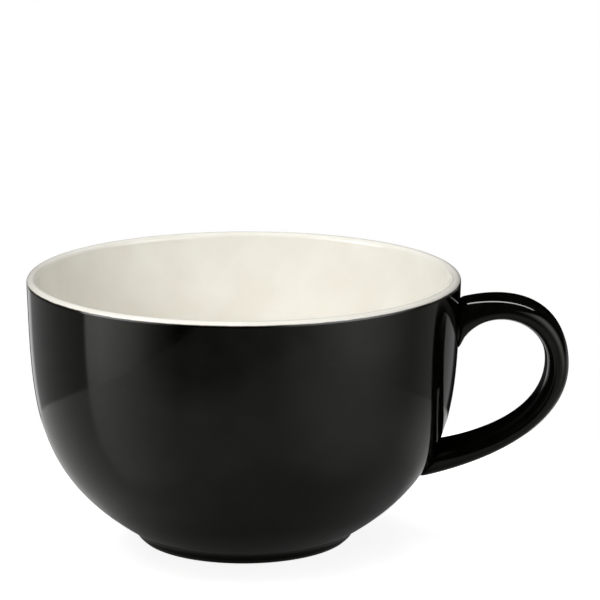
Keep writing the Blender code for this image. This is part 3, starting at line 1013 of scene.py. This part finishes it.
# %% Softboxes at the sides
def fade_in(group, distance, reach):
    """Map Range node that rises from 0 to 1 as a distance goes from 0 to a reach, both sockets."""
    node = group.nodes.new("ShaderNodeMapRange")
    node.interpolation_type = "SMOOTHSTEP"
    group.links.new(distance, node.inputs["Value"])
    group.links.new(reach, node.inputs["From Max"])
    return node


def make_cloth_glow():
    """Group with the glow of a lit cloth across its width and height, from 0 to 1."""
    fades = {"Left Fade": 0.1, "Right Fade": 0.1, "Bottom Fade": 0.1, "Top Fade": 0.1}
    levels = {"Right Level": 0.0, "Edge Fade": 0.01}
    group, entry, leave = new_group("cloth_glow", {**fades, **levels}, ("Glow",))
    parts = group.nodes.new("ShaderNodeSeparateXYZ")
    group.links.new(group.nodes.new("ShaderNodeTexCoord").outputs["Generated"], parts.inputs[0])
    from_left, from_bottom = parts.outputs["X"], parts.outputs["Y"]
    from_right = math_node(group, "SUBTRACT", 1.0, from_left)
    from_top = math_node(group, "SUBTRACT", 1.0, from_bottom)
    left = fade_in(group, from_left, entry.outputs["Left Fade"])
    right = fade_in(group, from_right, entry.outputs["Right Fade"])
    bottom = fade_in(group, from_bottom, entry.outputs["Bottom Fade"])
    top = fade_in(group, from_top, entry.outputs["Top Fade"])
    edge = fade_in(group, from_right, entry.outputs["Edge Fade"])
    group.links.new(entry.outputs["Right Level"], right.inputs["To Min"])
    glow = left.outputs["Result"]
    for side in (right, bottom, top, edge):
        glow = math_node(group, "MULTIPLY", glow, side.outputs["Result"])
    group.links.new(glow, leave.inputs["Glow"])
    return group


cloth_glow = make_cloth_glow()


def make_softbox(name, azimuth, distance, span, heights, brightness, **fades):
    """Upright cloth panel that faces the mug, seen in gloss only."""
    material, tree, emission = new_glow(name)
    emission.inputs["Strength"].default_value = brightness
    tree.links.new(place_group(tree, cloth_glow, **fades).outputs["Glow"], emission.inputs["Color"])
    added = tree.nodes.new("ShaderNodeAddShader")
    tree.links.new(emission.outputs[0], added.inputs[0])
    tree.links.new(tree.nodes.new("ShaderNodeBsdfTransparent").outputs[0], added.inputs[1])
    tree.links.new(added.outputs[0], tree.nodes["Material Output"].inputs["Surface"])
    mesh_data = bmesh.new()
    (left, right), (low, high) = span, heights
    corners = [(left, low), (right, low), (right, high), (left, high)]
    mesh_data.faces.new([mesh_data.verts.new((x, y, 0.0)) for x, y in corners])
    place = (AXIS_X + math.sin(azimuth) * distance, -math.cos(azimuth) * distance, 0.0)
    panel = stage_object(name, mesh_data, material, place)
    panel.rotation_euler = (math.pi / 2, 0.0, azimuth + math.pi)
    only_in_gloss(panel)


make_softbox("key_softbox", azimuth=math.radians(-65), distance=0.60, span=(-0.41, 0.27), heights=(-0.326, 0.80),
             brightness=6.4, Left_Fade=0.83, Right_Fade=0.25, Right_Level=0.72, Edge_Fade=0.06,
             Bottom_Fade=0.467, Top_Fade=0.25)
make_softbox("fill_softbox", azimuth=math.radians(66), distance=0.70, span=(-0.49, 0.95), heights=(-0.336, 0.85),
             brightness=5.1, Left_Fade=0.486, Right_Fade=0.729, Bottom_Fade=0.452, Top_Fade=0.25)
print("softboxes at the sides: key and fill")

# %% [markdown]
# ## Lamps
# Three area lamps light the matt side of things. One hangs overhead. One behind on the left lights the table alone.
# One in front lights the mug alone, because the rear wall inside the bowl faces the camera. Gloss must stay dark
# there, so photographers put a polarising sheet over such a lamp and another over the lens. Here the three lamps are
# hidden from mirrored rays. A fourth, long lamp above and behind does the opposite: it shows in the handle's gloss
# alone, as the bright streak along the top. Light linking says which things a lamp lights.

# %% Lamps
def make_lamp(name, place, size, watts):
    """Area lamp at a place from the foot of the bowl's axis, which it faces, unseen by the camera."""
    data = bpy.data.lights.new(name, "AREA")
    data.shape = "RECTANGLE"
    data.size, data.size_y = size
    data.energy = watts
    lamp = bpy.data.objects.new(name, data)
    lamp.location = Vector((AXIS_X, 0.0, 0.0)) + Vector(place)
    lamp.rotation_euler = Vector(place).to_track_quat("Z", "Y").to_euler()
    lamp.visible_camera = False
    bpy.context.scene.collection.objects.link(lamp)
    return lamp


def light_only(lamp, name, things):
    """Let a lamp light some things alone, by Blender's light linking."""
    receivers = bpy.data.collections.new(name)
    for thing in things:
        receivers.objects.link(thing)
    lamp.light_linking.receiver_collection = receivers


mug_pieces = (clay_bowl, cream_lining, black_coat, base_coat, handle_coat)
overhead_lamp = make_lamp("overhead_lamp", place=(-0.03, 0.0, 1.10), size=(1.1, 0.9), watts=6.4)
table_lamp = make_lamp("table_lamp", place=(-0.46, 0.38, 0.80), size=(1.0, 0.5), watts=4.4)
front_lamp = make_lamp("front_lamp", place=(-0.45, -0.95, 0.54), size=(0.9, 0.5), watts=8.6)
for lamp in (overhead_lamp, table_lamp, front_lamp):
    lamp.visible_glossy = False
light_only(table_lamp, "lit_by_table_lamp", (table,))
light_only(front_lamp, "lit_by_front_lamp", mug_pieces)
streak_softbox = make_lamp("streak_softbox", place=(0.17, 0.63, 0.95), size=(1.1, 0.16), watts=7.0)
streak_softbox.visible_diffuse = False
light_only(streak_softbox, "lit_by_streak_softbox", (handle_coat,))
print("lamps:", ", ".join(lamp.name for lamp in (overhead_lamp, table_lamp, front_lamp, streak_softbox)))
